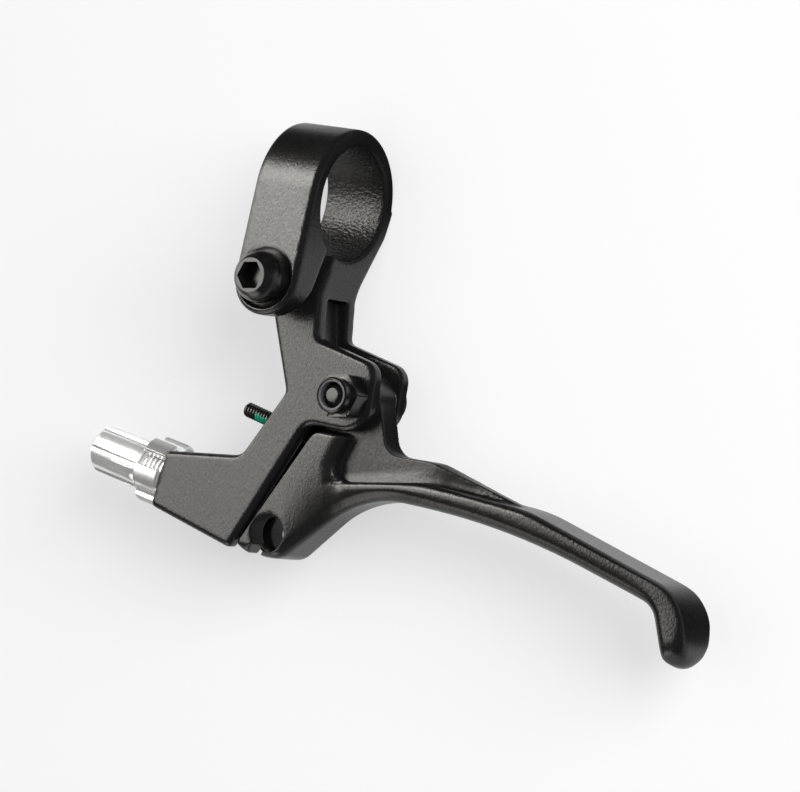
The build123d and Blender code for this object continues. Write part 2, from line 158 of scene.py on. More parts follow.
class LeverFinishes(bpy.types.PropertyGroup):
    """Colours of the finishes."""

    casting_black: FloatVectorProperty(
        name="Casting black",
        description="Colour of the satin paint on the castings",
        default=(0.006, 0.006, 0.006),
        subtype="COLOR",
    )
    oxide_black: FloatVectorProperty(
        name="Oxide black",
        description="Colour of the blackened steel",
        default=(0.005, 0.005, 0.005),
        subtype="COLOR",
    )
    silver: FloatVectorProperty(
        name="Silver",
        description="Colour of the polished aluminium",
        default=(0.93, 0.93, 0.93),
        subtype="COLOR",
    )
    zinc: FloatVectorProperty(
        name="Zinc",
        description="Colour of the plated washers",
        default=(0.62, 0.63, 0.64),
        subtype="COLOR",
    )
    nylon: FloatVectorProperty(
        name="Nylon",
        description="Colour of the bush and the locking ring",
        default=(0.05, 0.05, 0.055),
        subtype="COLOR",
    )
    lock_green: FloatVectorProperty(
        name="Lock green",
        description="Colour of the thread-locking patch",
        default=(0.008, 0.30, 0.19),
        subtype="COLOR",
    )


class LeverStage(bpy.types.PropertyGroup):
    """Light, floor and room."""

    floor_colour: FloatVectorProperty(
        name="Floor colour",
        description="Colour of the floor",
        default=(0.93, 0.93, 0.93),
        subtype="COLOR",
    )
    soft_box_level: FloatProperty(
        name="Soft box level",
        description="Brightness of the large soft box that the near faces mirror",
        default=9.3,
    )
    top_box_level: FloatProperty(
        name="Top box level",
        description="Brightness of the smaller box in the upper part of the soft box",
        default=13.0,
    )
    side_box_level: FloatProperty(
        name="Side box level",
        description="Brightness of the box on the left that the rounded edges mirror",
        default=10.0,
    )
    low_box_level: FloatProperty(
        name="Low box level",
        description="Brightness of the box below that the lower edges mirror",
        default=3.2,
    )
    key_level: FloatProperty(
        name="Key level",
        description="Brightness of the lamp that casts the shadow",
        default=9.5,
    )
    fill_level: FloatProperty(
        name="Fill level",
        description="Brightness of the wide lamp overhead",
        default=0.8,
    )
    floor_share: FloatProperty(
        name="Floor share",
        description="Share of the floor's white that the object's shadow leaves alone",
        default=0.55,
        subtype="FACTOR",
    )
    warm: FloatVectorProperty(
        name="Warm light",
        description="Colour of the soft boxes",
        default=(1.0, 0.965, 0.91),
        subtype="COLOR",
    )
    world_level: FloatProperty(
        name="World level",
        description="Brightness of the room around the object",
        default=0.07,
    )


def look():
    """The colours in the scene's settings."""
    return bpy.context.scene.brake_lever_finishes


def sizes():
    """The sizes in the scene's settings."""
    return bpy.context.scene.brake_lever_sizes


# Tools for the finishes
class Wire:
    """A socket's value, which adds Math nodes when it is used in arithmetic."""

    def __init__(self, shader, socket):
        self.shader = shader
        self.socket = socket

    def out(self, name):
        """Another output of the same node."""
        return Wire(self.shader, self.socket.node.outputs[name])

    def math(self, operation, first, second=0.0):
        return self.shader.node("ShaderNodeMath", {"operation": operation}, {0: first, 1: second})

    def __add__(self, other):
        return self.math("ADD", self, other)

    def __radd__(self, other):
        return self.math("ADD", other, self)

    def __sub__(self, other):
        return self.math("SUBTRACT", self, other)

    def __rsub__(self, other):
        return self.math("SUBTRACT", other, self)

    def __mul__(self, other):
        return self.math("MULTIPLY", self, other)

    def __rmul__(self, other):
        return self.math("MULTIPLY", other, self)

    def __abs__(self):
        return self.math("ABSOLUTE", self)


class Shader:
    """The nodes of a material or of the world."""

    def __init__(self, tree):
        self.tree = tree

    def node(self, kind, settings=None, sockets=None):
        """Adds a node, sets it, and fills its sockets with values or links."""
        made = self.tree.nodes.new(kind)
        for name, value in (settings or {}).items():
            setattr(made, name, value)
        for name, value in (sockets or {}).items():
            self.plug(made.inputs[name], value)
        return Wire(self, made.outputs[0]) if made.outputs else made

    def plug(self, socket, value):
        if isinstance(value, Wire):
            self.tree.links.new(value.socket, socket)
        elif socket.type == "RGBA":
            socket.default_value = (*value[:3], 1.0)
        else:
            socket.default_value = value


class Finish(Shader):
    """A material on the object, with the tools that its finishes share."""

    # The Mix node's colour sockets, which share their names with its other types
    MIX_SHARE, MIX_FIRST, MIX_SECOND, MIX_RESULT = 0, 6, 7, 2

    def __init__(self, name):
        self.material = bpy.data.materials.new(name)
        self.material.use_nodes = True
        super().__init__(self.material.node_tree)
        self.surface = self.tree.nodes["Principled BSDF"]
        self.coordinates = self.node("ShaderNodeTexCoord")
        self.place = self.coordinates.out("Object")

    def set(self, **sockets):
        """Fills the surface's sockets, each named in small letters."""
        for name, value in sockets.items():
            title = name.replace("_", " ").title().replace("Ior", "IOR")
            self.plug(self.surface.inputs[title], value)
        return self

    def split(self, vector):
        """A vector's three parts."""
        parts = self.node("ShaderNodeSeparateXYZ", {}, {"Vector": vector})
        return parts.out("X"), parts.out("Y"), parts.out("Z")

    def facing(self):
        """The three parts of the direction that the surface faces."""
        return self.split(self.coordinates.out("Normal"))

    def vector(self, operation, *values):
        sockets = dict(enumerate(values))
        return self.node("ShaderNodeVectorMath", {"operation": operation}, sockets)

    def along(self, direction, start):
        """Distance from a point along a direction, over the object."""
        away = self.vector("SUBTRACT", self.place, tuple(start))
        return self.vector("DOT_PRODUCT", away, tuple(direction)).out("Value")

    def off_axis(self, direction, start=(0, 0, 0)):
        """Distance from a line, over the object."""
        away = self.vector("SUBTRACT", self.place, tuple(start))
        across = self.vector("CROSS_PRODUCT", away, tuple(direction))
        return self.vector("LENGTH", across).out("Value")

    def noise(self, size, detail=2.0, rough=0.5, place=None):
        """Cloudy values from 0 to 1 with lumps of a size in metres."""
        return self.node(
            "ShaderNodeTexNoise",
            {"noise_dimensions": "3D"},
            {
                "Vector": place or self.place,
                "Scale": 1 / size,
                "Detail": detail,
                "Roughness": rough,
            },
        )

    def pebbles(self, size, smooth):
        """Distance to the middles of rounded cells of a size in metres."""
        return self.node(
            "ShaderNodeTexVoronoi",
            {"feature": "SMOOTH_F1"},
            {"Vector": self.place, "Scale": 1 / size, "Smoothness": smooth},
        )

    def stretched(self, scale):
        """The place, with each axis scaled."""
        return self.node("ShaderNodeMapping", {}, {"Vector": self.place, "Scale": scale})

    def ease(self, value, low, high, first=0.0, last=1.0):
        """A smooth change from first to last while the value goes from low to high."""
        return self.node(
            "ShaderNodeMapRange",
            {"interpolation_type": "SMOOTHSTEP"},
            {"Value": value, "From Min": low, "From Max": high, "To Min": first, "To Max": last},
        )

    def mix(self, share, first, second):
        """A colour between two colours."""
        sockets = {self.MIX_SHARE: share, self.MIX_FIRST: first, self.MIX_SECOND: second}
        return self.node("ShaderNodeMix", {"data_type": "RGBA"}, sockets).out(self.MIX_RESULT)

    def bump(self, height, distance):
        """A bump whose height of 1 stands for a distance in metres."""
        return self.node("ShaderNodeBump", {}, {"Height": height, "Distance": distance})


def shade(colour, factor):
    """A colour made lighter or darker."""
    return tuple(part * factor for part in colour)


# Finishes
PEEL_SIZE = 0.5 * MM
SKIN_SIZE = 1.6 * MM
CLOUD_SIZE = 9 * MM
SPECK_SIZE = 0.42 * MM
PEBBLE_SIZE = 0.62 * MM
BORE_GRAIN = 0.55 * MM
FILED_LINE = 0.3 * MM
PAINT_DEPTH = 0.09 * MM


def casting_paint(name, black, web_floor):
    """Satin black paint on a fine cast grain, rougher on the lever's web or in the bar's bore."""
    paint = Finish(name)
    _, y, z = paint.split(paint.place)
    faces_x, _, faces_z = paint.facing()
    grain = paint.stretched((1.25, 0.75, 1.0))
    peel = paint.noise(PEEL_SIZE, place=grain)
    skin = paint.noise(SKIN_SIZE, place=grain)
    cloud = paint.noise(CLOUD_SIZE)
    specks = paint.noise(SPECK_SIZE, rough=0.6, place=grain)
    coarse = paint.pebbles(PEBBLE_SIZE, smooth=0.7)
    height = peel * 0.5 + skin * 0.15
    if web_floor:
        level = paint.ease(abs(z), WEB_TOP + 1.3 * MM, WEB_TOP + 0.9 * MM)
        flat = paint.ease(abs(faces_z), 0.75, 0.95)
        hole = paint.ease(paint.off_axis((0, 0, 1), NIPPLE), NIPPLE_RIM + 0.2 * MM, NIPPLE_RIM)
        rough_part = level * flat + hole * 3
        grains = coarse * 0.12
    else:
        rough_part = paint.ease(paint.off_axis((1, 0, 0)), BAR_R + 0.3 * MM, BAR_R + 0.1 * MM)
        drawn = paint.noise(BORE_GRAIN, place=paint.stretched((0.55, 1.0, 1.0)))
        grains = drawn * 1.2 + coarse * 0.6
        ring_face = paint.ease(abs(faces_x), 0.9, 0.97) * paint.ease(y, *RING_FOOT)
        lines = paint.noise(FILED_LINE, detail=1.0, place=paint.stretched((0.1, 1.0, 0.06)))
        height = height + ring_face * lines * 0.35
    tone = paint.ease(cloud + skin * 0.3, 0.4, 0.9)
    return paint.set(
        base_color=paint.mix(tone, shade(black, 0.85), shade(black, 1.25)),
        roughness=0.22 + peel * 0.08 + cloud * 0.05 + rough_part * 0.10,
        ior=1.34,
        coat_weight=paint.ease(specks, 0.38, 0.72, 0.0, 0.16),
        coat_roughness=0.3,
        normal=paint.bump(height + rough_part * grains * 1.6, PAINT_DEPTH),
    ).material


def oxide_steel(name, black):
    """Glossy blackened steel with fine marks."""
    steel = Finish(name)
    marks = steel.noise(0.12 * MM, detail=1.0)
    turned = steel.node(
        "ShaderNodeTexWave",
        {"wave_type": "RINGS", "rings_direction": "SPHERICAL"},
        {"Vector": steel.place, "Scale": 900.0, "Distortion": 3.0, "Detail": 1.0},
    )
    smear = steel.noise(2.2 * MM, detail=3.0)
    return steel.set(
        base_color=steel.mix(steel.ease(smear, 0.35, 0.75), shade(black, 0.8), shade(black, 1.6)),
        roughness=0.14 + smear * 0.14 + marks * 0.04,
        ior=1.38,
        normal=steel.bump(marks * 0.6 + turned.out("Fac") * 0.12, 0.006 * MM),
    ).material


TURNED_RING = 0.09 * MM
MILLED_SHADE_EDGE = 0.2 * MM
NO_MILLED_SHADE = 1.0


def polished_aluminium(name, silver, axis, start, milled_shade_from=NO_MILLED_SHADE):
    """Bright turned aluminium with faint rings; beyond a distance from its axis it is rougher and
    darkened with painted shade.
    """
    metal = Finish(name)
    rings = metal.node(
        "ShaderNodeTexNoise",
        {"noise_dimensions": "1D"},
        {"W": metal.along(axis, start) * (1 / TURNED_RING), "Scale": 1.0, "Detail": 2.0},
    )
    marks = metal.noise(0.5 * MM, detail=4.0, rough=0.7)
    haze = metal.noise(4 * MM)
    bright = metal.mix(metal.ease(haze + marks * 0.4, 0.45, 0.95), silver, shade(silver, 0.9))
    # Painted shade: beyond this distance from the axis the milled faces get a much darker silver,
    # which stands in for the dark surroundings they mirror. They are also really rougher and
    # brushed.
    milled = metal.ease(metal.off_axis(axis, start), milled_shade_from, milled_shade_from + MILLED_SHADE_EDGE)
    brushed = metal.noise(0.18 * MM)
    dull_and_shaded = metal.mix(brushed, shade(silver, 0.28), shade(silver, 0.5))
    return metal.set(
        base_color=metal.mix(milled * 0.9, bright, dull_and_shaded),
        metallic=0.6,
        roughness=0.16 + haze * 0.08 + metal.ease(marks, 0.62, 0.75) * 0.1 + milled * 0.12,
        normal=metal.bump(rings * 0.7 + marks * 0.3, 0.004 * MM),
    ).material


def zinc_plate(name, zinc):
    """Dull plated steel."""
    plate = Finish(name)
    grain = plate.noise(0.3 * MM, detail=3.0)
    return plate.set(
        base_color=plate.mix(grain, shade(zinc, 0.85), zinc),
        metallic=1.0,
        roughness=0.28 + grain * 0.15,
        normal=plate.bump(grain, 0.004 * MM),
    ).material


def moulded_nylon(name, nylon):
    """Matt moulded nylon."""
    moulded = Finish(name)
    grain = moulded.noise(0.4 * MM, detail=3.0)
    return moulded.set(
        base_color=moulded.mix(grain, shade(nylon, 0.8), shade(nylon, 1.3)),
        roughness=0.5 + grain * 0.15,
        normal=moulded.bump(grain, 0.008 * MM),
    ).material


PATCH_EDGE = 0.15 * MM
PATCH_SIDE = (0.2 * MM, 0.5 * MM)
PATCH_RAGGED = 0.9 * MM


def locked_screw(name, black, green, patch_from, patch_to, axis, start):
    """Blackened screw with a green thread-locking patch on one side of a few turns."""
    screw = Finish(name)
    ragged = screw.noise(0.7 * MM, detail=3.0) * PATCH_RAGGED
    run = screw.along(axis, start) + ragged
    side = screw.along((-axis.y, axis.x, 0), start) + ragged
    patch = screw.ease(run, patch_from, patch_from + PATCH_EDGE)
    patch = patch * screw.ease(run, patch_to, patch_to - PATCH_EDGE)
    patch = patch * screw.ease(side, *PATCH_SIDE)
    smear = screw.noise(1.1 * MM, detail=3.0)
    dark = screw.mix(smear, shade(black, 0.8), shade(black, 1.7))
    lock = screw.mix(smear, shade(green, 0.8), shade(green, 1.25))
    return screw.set(
        base_color=screw.mix(patch, dark, lock),
        roughness=0.26 + smear * 0.1 + patch * 0.12,
        ior=1.6,
        normal=screw.bump(smear, 0.02 * MM),
    ).material


# Painted reflection: a black that the glossy faces mirror where the lit white floor and room would
# be.
MIRRORED_BLACK = (0.004, 0.004, 0.004)
CARD_HALF = 0.5


def mirror_only_black(name, feather):
    """Black for a card of size 1 that only mirrors see, a painted dark reflection, which thins out
    over a share of its width at the edges.
    """
    mirror_black = Finish(name)
    mirror_black.set(base_color=MIRRORED_BLACK)
    if feather:
        x, y, _ = mirror_black.split(mirror_black.place)
        rim = x.math("MAXIMUM", abs(x), abs(y))
        share = mirror_black.ease(rim, CARD_HALF, CARD_HALF - feather)
        clear = mirror_black.node("ShaderNodeBsdfTransparent")
        black = Wire(mirror_black, mirror_black.surface.outputs[0])
        mixed = mirror_black.node("ShaderNodeMixShader", {}, {0: share, 1: clear, 2: black})
        mirror_black.plug(mirror_black.tree.nodes["Material Output"].inputs["Surface"], mixed)
    return mirror_black.material


def white_sweep(name, colour, white_share):
    """A matt floor that keeps its shadow, and is partly plain white to the eye and in mirrors."""
    material = bpy.data.materials.new(name)
    material.use_nodes = True
    sweep = Shader(material.node_tree)
    sweep.tree.nodes.clear()
    ray = sweep.node("ShaderNodeLightPath")
    shown = ray.math("MAXIMUM", ray.out("Is Camera Ray"), ray.out("Is Glossy Ray"))
    shown = ray.math("MAXIMUM", shown, ray.out("Is Transmission Ray"))
    matt = sweep.node("ShaderNodeBsdfDiffuse", {}, {"Color": colour})
    white = sweep.node("ShaderNodeEmission", {}, {"Color": WHITE, "Strength": 1.0})
    mixed = sweep.node("ShaderNodeMixShader", {}, {0: shown * white_share, 1: matt, 2: white})
    sweep.node("ShaderNodeOutputMaterial", {}, {"Surface": mixed})
    return material


# Tools for the pieces
COPY_MERGE = 0.0002 * MM
THREAD_MERGE = 0.0005 * MM
BISECT_SNAP = 0.0001 * MM
SHARP = radians(35)
THREAD_SHARP = radians(30)


def only(piece):
    """Selects one object and makes it the active one."""
    bpy.ops.object.select_all(action="DESELECT")
    piece.select_set(True)
    bpy.context.view_layer.objects.active = piece


def open_mesh(piece):
    """Opens a piece in edit mode with everything selected."""
    only(piece)
    bpy.ops.object.mode_set(mode="EDIT")
    bpy.ops.mesh.select_all(action="SELECT")


def close_mesh():
    """Goes back to object mode."""
    bpy.ops.object.mode_set(mode="OBJECT")


def flat_cut(place, normal, **cleared):
    """Cuts the open mesh at a plane, clears one side and fills the cut."""
    bpy.ops.mesh.select_all(action="SELECT")
    bpy.ops.mesh.bisect(
        plane_co=place, plane_no=normal, use_fill=True, threshold=BISECT_SNAP, **cleared
    )


def apply_modifier(piece, kind, **settings):
    """Adds a modifier with its settings and applies it."""
    only(piece)
    modifier = piece.modifiers.new(kind.title(), kind)
    for name, value in settings.items():
        setattr(modifier, name, value)
    bpy.ops.object.modifier_apply(modifier=modifier.name)


def copy_of(node, name):
    """A copy of a CAD node's mesh, with its corners merged."""
    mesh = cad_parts[node].data.copy()
    mesh.materials.clear()
    piece = bpy.data.objects.new(name, mesh)
    bpy.context.scene.collection.objects.link(piece)
    open_mesh(piece)
    bpy.ops.mesh.remove_doubles(threshold=COPY_MERGE)
    bpy.ops.mesh.customdata_custom_splitnormals_clear()
    close_mesh()
    return piece


def dress(piece, node, body, material):
    """Gives a finished piece its material and its body, and hides the node that it stands for."""
    piece.data.materials.clear()
    piece.data.materials.append(material)
    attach(piece, body)
    if node:
        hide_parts(node)


def break_edges(piece, width):
    """Rounds the sharp edges a little and shades the rest smooth."""
    apply_modifier(
        piece, "BEVEL", width=width, segments=2, limit_method="ANGLE", angle_limit=SHARP
    )
    only(piece)
    bpy.ops.object.shade_smooth_by_angle(angle=SHARP)
    apply_modifier(piece, "WEIGHTED_NORMAL", keep_sharp=True)


def shade_thread(piece):
    """Shades a thread smooth between its sharp edges."""
    only(piece)
    bpy.ops.object.shade_smooth_by_angle(angle=THREAD_SHARP)


def axes(first, second, third):
    """The turn that points an object's axes in three directions."""
    return Matrix((first, second, third)).transposed().to_4x4()


def settle(piece, matrix):
    """Puts a piece in its place and moves the place into its mesh."""
    piece.matrix_world = matrix
    only(piece)
    bpy.ops.object.transform_apply(location=True, rotation=True, scale=True)


def standing(start, direction):
    """The place of a piece that is made along Z and stands on a point along a direction."""
    return Matrix.Translation(start) @ direction.to_track_quat("Z", "Y").to_matrix().to_4x4()


def cut(piece, tool, operation="DIFFERENCE"):
    """Cuts a piece with a tool and removes the tool."""
    apply_modifier(piece, "BOOLEAN", operation=operation, solver="EXACT", object=tool)
    bpy.data.objects.remove(tool)
    if not piece.data.polygons:
        raise RuntimeError(f"{piece.name} was cut away")


# The lever's lines, seen along the pivot, in millimetres
FINGER_LINE = np.array(
    [(-0.9, -69.9), (4.5, -69.8), (9, -67), (15.2, -61), (19, -58), (24, -55.9), (31, -54.7)]
    + [(42, -54.9), (54, -56.2), (66, -58.5), (84, -63.4), (87.5, -66), (89.5, -70.5)]
    + [(91.2, -75.2), (93, -75.8)]
)
RIB_LINE = np.array(
    [(14.6, -53.2), (20, -52.3), (30, -50.9), (36, -50.3), (46, -50.6), (58.5, -51.6)]
    + [(70, -54.7), (80, -57.5), (90, -60.3)]
)
ARM_LINE = np.array([(17.2, -43.6), (15.9, -47.0), (14.9, -50.0), (15.4, -52.4), (17.0, -53.0)])
HOOK_END = np.array((91.2, -75.2))
HOOK_UP = np.array((-0.35, 0.937))

# The web in millimetres: its span along X, its flat taper in the solid and its sloped tail
WEB_SPAN = (14, 58)
WEB_TIP = 58.5
WEB_LEVEL = ((36, WEB_TIP), (WEB_HALF_MM, 0.9))
WEB_SLACK = 0.25
RIB_SLACK = 0.3
TAIL_FROM = 33
TAIL_LEAN = 0.9
TAIL_LEAN_REACH = 8
TAIL_DROP = 1.8
TAIL_POWER = 1.5
GROOVE = 1.2
ARM_REACH = 2.4

# The hook's ball-shaped end in millimetres, and the share of its thickness that it loses
HOOK_FROM = 84
HOOK_REACH = 5
HOOK_HALF = 6
HOOK_SHIFT = 2.0
HOOK_DROP = 0.24

# Changes along X: places in millimetres, then reaches in millimetres, shares or powers there
FOOT_REACH = ((18, 38, 52), (1.8, 3.4, 2.4))
FOOT_SHARE = ((38, 45), (1, 0))
DIP_REACH = ((30, 46), (1.2, 6.5))
DIP_SHARE = ((30, 40, 58), (0, 1, 0.3))
RIB_REACH = ((14, 20, 56, 90), (0.4, 1.8, 1.4, 0.6))
CROWN_REACH = ((12, 36), (14, 6))
CROWN_POWER = ((12, 36), (2, 3))
CROWN_SHARE = ((6, 16, 28, 40, 82, 88), (0, 1, 1, 0.5, 0.5, 0.15))


def distance_to(line, flat):
    """Distance of points from a line of several points."""
    nearest = np.full(len(flat), np.inf)
    for start, end in zip(line[:-1], line[1:]):
        run = end - start
        share = np.clip((flat - start) @ run / (run @ run), 0, 1)
        nearest = np.minimum(nearest, np.linalg.norm(flat - start - share[:, None] * run, axis=1))
    return nearest


def fade(distance, reach, power=2):
    """Falls from 1 to 0 over a reach."""
    return np.clip(1 - distance / reach, 0, 1) ** power


def web_height(flat, height, from_rib, foot_lift, tail_dip):
    """The heights with a fillet at the rib's foot and a web whose tail slopes and dips."""
    along = flat[:, 0]
    level = np.interp(along, *WEB_LEVEL)
    rise = foot_lift * np.interp(along, *FOOT_SHARE)
    rise = rise * fade(from_rib, np.interp(along, *FOOT_REACH))
    dip = tail_dip * np.interp(along, *DIP_SHARE) * np.clip(from_rib / GROOVE, 0, 1)
    dip = dip * fade(from_rib, np.interp(along, *DIP_REACH), TAIL_POWER)
    slope_from = TAIL_FROM + TAIL_LEAN * np.minimum(from_rib, TAIL_LEAN_REACH)
    slope = np.clip((along - slope_from) / (WEB_TIP - slope_from), 0, 1)
    slope = TAIL_DROP * slope**TAIL_POWER
    above_rib = flat[:, 1] > np.interp(along, *RIB_LINE.T) - RIB_SLACK
    in_span = (along > WEB_SPAN[0]) & (along < WEB_SPAN[1])
    on_web = above_rib & in_span & (height < level + rise + WEB_SLACK)
    share = np.where(height > level - WEB_SLACK, 1, height / level)
    return np.where(on_web, share * (WEB_HALF_MM - slope + rise - dip), height)


def shape_lever(piece, shape):
    """Shapes the web, rounds the rib, crowns the finger side, and rounds the arm and the hook."""
    mesh = piece.data
    places = np.empty(len(mesh.vertices) * 3, np.float32)
    mesh.vertices.foreach_get("co", places)
    places = places.reshape(-1, 3) / MM
    flat = places[:, :2]
    along = flat[:, 0]
    height = np.abs(places[:, 2])
    side = np.sign(places[:, 2])

    from_rib = distance_to(RIB_LINE, flat)
    height = web_height(flat, height, from_rib, shape.foot_lift, shape.tail_dip)
    height *= 1 - shape.rib_drop * fade(from_rib, np.interp(along, *RIB_REACH))

    crown = fade(
        distance_to(FINGER_LINE, flat),
        np.interp(along, *CROWN_REACH),
        np.interp(along, *CROWN_POWER),
    )
    height *= 1 - shape.crown_drop * np.interp(along, *CROWN_SHARE) * crown

    above = height - WEB_HALF_MM
    lower = 1 - shape.arm_drop * fade(distance_to(ARM_LINE, flat), ARM_REACH)
    height = np.where(above > 0, WEB_HALF_MM + above * lower, height)

    from_end = (flat - HOOK_END) @ HOOK_UP
    ball = np.where(along > HOOK_FROM, fade(from_end, HOOK_REACH), 0)
    flat += np.outer(HOOK_SHIFT * ball * (height / HOOK_HALF) ** 2, HOOK_UP)
    height *= 1 - HOOK_DROP * ball

    places[:, 2] = side * height
    mesh.vertices.foreach_set("co", (places * MM).ravel())
    mesh.update()


class BRAKE_LEVER_OT_castings(bpy.types.Operator):
    """Makes the bracket and the lever as castings with soft edges and a painted skin"""

    bl_idname = "brake_lever.castings"
    bl_label = "Castings"

    def execute(self, context):
        shape = sizes()
        for node, body, is_lever in (
            ("bracket", "bracket", False),
            ("lever_blade", "lever", True),
        ):
            piece = copy_of(node, f"{node}_casting")
            apply_modifier(
                piece,
                "REMESH",
                mode="VOXEL",
                voxel_size=shape.casting_grain,
                use_smooth_shade=True,
            )
            if is_lever:
                shape_lever(piece, shape)
            apply_modifier(piece, "SMOOTH", factor=0.5, iterations=shape.casting_passes)
            only(piece)
            bpy.ops.object.shade_smooth()
            material = casting_paint(f"{node}_paint", look().casting_black, is_lever)
            dress(piece, node, body, material)
        return {"FINISHED"}


class BRAKE_LEVER_OT_fasteners(bpy.types.Operator):
    """Makes the clamp bolt, the pivot bolt and its lock nut with broken edges in blackened steel"""

    bl_idname = "brake_lever.fasteners"
    bl_label = "Fasteners"

    def execute(self, context):
        material = oxide_steel("black_oxide", look().oxide_black)
        for node, edge in (("clamp_bolt", 2.4), ("pivot_bolt", 1.0), ("pivot_lock_nut", 1.5)):
            piece = copy_of(node, f"{node}_steel")
            break_edges(piece, sizes().edge_break * edge)
            dress(piece, node, "bracket", material)
        return {"FINISHED"}


class BRAKE_LEVER_OT_bearings(bpy.types.Operator):
    """Makes the bush, the locking ring and the washers at the pivot with their finishes"""

    bl_idname = "brake_lever.bearings"
    bl_label = "Bearings"

    def execute(self, context):
        nylon = moulded_nylon("nylon_grey", look().nylon)
        zinc = zinc_plate("zinc_plate", look().zinc)
        for node, body, slot, material in (
            ("pivot_bush", "lever", "dark_nylon", nylon),
            ("pivot_nut_insert", "bracket", "dark_nylon", nylon),
            ("pivot_washer_near", "bracket", "bright_steel", zinc),
            ("pivot_washer_far", "bracket", "bright_steel", zinc),
        ):
            piece = copy_of(node, f"{node}_ring")
            break_edges(piece, sizes().edge_break / 2)
            dress(piece, node, body, material)
        return {"FINISHED"}


# Threads: the flat crest's start and end as shares of the pitch, and turns beyond the ends
CREST = (0.42, 0.58)
TURNS_BEFORE = 2
TURNS_SPARE = 5


def threaded_rod(name, radius, pitch, depth, length, start, direction, steps):
    """A rod with a real helical thread from a point along a direction, with flat ends."""
    bpy.ops.object.select_all(action="DESELECT")
    bpy.ops.mesh.primitive_plane_add(size=1)
    rod = bpy.context.object
    rod.name = name
    root = radius - depth
    crest_from, crest_to = (share * pitch for share in CREST)
    # The plane's corners, of which the first and the third become the tooth's two roots
    tooth = ((root, 0), (radius, crest_from), (root, pitch), (radius, crest_to))
    for vertex, (out, up) in zip(rod.data.vertices, tooth):
        vertex.co = (out, 0, up - TURNS_BEFORE * pitch)
    open_mesh(rod)
    bpy.ops.mesh.delete(type="ONLY_FACE")
    bpy.ops.mesh.select_all(action="DESELECT")
    close_mesh()
    for edge in rod.data.edges:
        edge.select = set(edge.vertices) == {0, 2}
    bpy.ops.object.mode_set(mode="EDIT")
    bpy.ops.mesh.delete(type="EDGE")
    close_mesh()
    apply_modifier(
        rod,
        "SCREW",
        axis="Z",
        angle=tau,
        screw_offset=pitch,
        iterations=int(length / pitch) + TURNS_SPARE,
        steps=steps,
        render_steps=steps,
        use_merge_vertices=True,
        merge_threshold=THREAD_MERGE,
    )
    open_mesh(rod)
    bpy.ops.mesh.remove_doubles(threshold=THREAD_MERGE)
    for height, outward in ((0.0, -1), (length, 1)):
        flat_cut((0, 0, height), (0, 0, outward), clear_outer=True)
    bpy.ops.mesh.select_all(action="SELECT")
    bpy.ops.mesh.normals_make_consistent(inside=False)
    close_mesh()
    settle(rod, standing(start, direction))
    return rod


REACH_THREAD_DEPTH = 0.36 * MM
REACH_OVERSIZE = 0.02 * MM
PATCH_FROM_HEAD = (6.0 * MM, 2.4 * MM)


class BRAKE_LEVER_OT_reach_screw(bpy.types.Operator):
    """Makes the reach screw with its thread, its hex socket and its green locking patch"""

    bl_idname = "brake_lever.reach_screw"
    bl_label = "Reach screw"

    def execute(self, context):
        low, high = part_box("reach_screw")
        corner = Vector((low.x, high.y, 0))
        head = corner + REACH_R * Vector((sin(REACH_SLOPE), -cos(REACH_SLOPE), 0))
        tip = head - REACH_DIR * REACH_LENGTH
        screw = threaded_rod(
            "reach_screw_thread",
            REACH_R + REACH_OVERSIZE,
            sizes().reach_pitch,
            REACH_THREAD_DEPTH,
            REACH_LENGTH,
            tip,
            REACH_DIR,
            steps=24,
        )
        cut(screw, copy_of("reach_screw", "reach_screw_blank"), "INTERSECT")
        shade_thread(screw)
        patch_from, patch_to = (REACH_LENGTH - below for below in PATCH_FROM_HEAD)
        material = locked_screw(
            "reach_screw_oxide",
            look().oxide_black,
            look().lock_green,
            patch_from,
            patch_to,
            REACH_DIR,
            tip,
        )
        dress(screw, "reach_screw", "reach_screw", material)
        return {"FINISHED"}


SHANK_THREAD_DEPTH = 0.55 * MM
SEAT_OVERLAP = 0.02 * MM
SLOT_TOOL_DEPTH = 10 * MM
HOLE_TOOL_SIDES = 24


def cable_hole_tool():
    """A rod through the adjuster's shank."""
    length = 2 * SHANK_LENGTH
    bpy.ops.object.select_all(action="DESELECT")
    bpy.ops.mesh.primitive_cylinder_add(
        vertices=HOLE_TOOL_SIDES, radius=CABLE_HOLE_R, depth=length
    )
    tool = bpy.context.object
    start = BARREL_SEAT - CABLE_DIR * 1.5 * SHANK_LENGTH
    settle(tool, standing(start, CABLE_DIR) @ Matrix.Translation((0, 0, length / 2)))
    return tool


def cable_slot_tool():
    """A box from the middle of the adjuster's shank to one side, along all of it."""
    up = Vector((0, 0, 1))
    bpy.ops.object.select_all(action="DESELECT")
    bpy.ops.mesh.primitive_cube_add(size=1)
    tool = bpy.context.object
    middle = Matrix.Translation(BARREL_SEAT - CABLE_DIR * SHANK_LENGTH / 2)
    turn = axes(CABLE_DIR, CABLE_DIR.cross(up), up)
    size = Matrix.Diagonal((2 * SHANK_LENGTH, SLOT_TOOL_DEPTH, CABLE_SLOT_WIDTH, 1))
    to_one_side = Matrix.Translation((0, 0.5, 0))
    settle(tool, middle @ turn @ size @ to_one_side)
    return tool


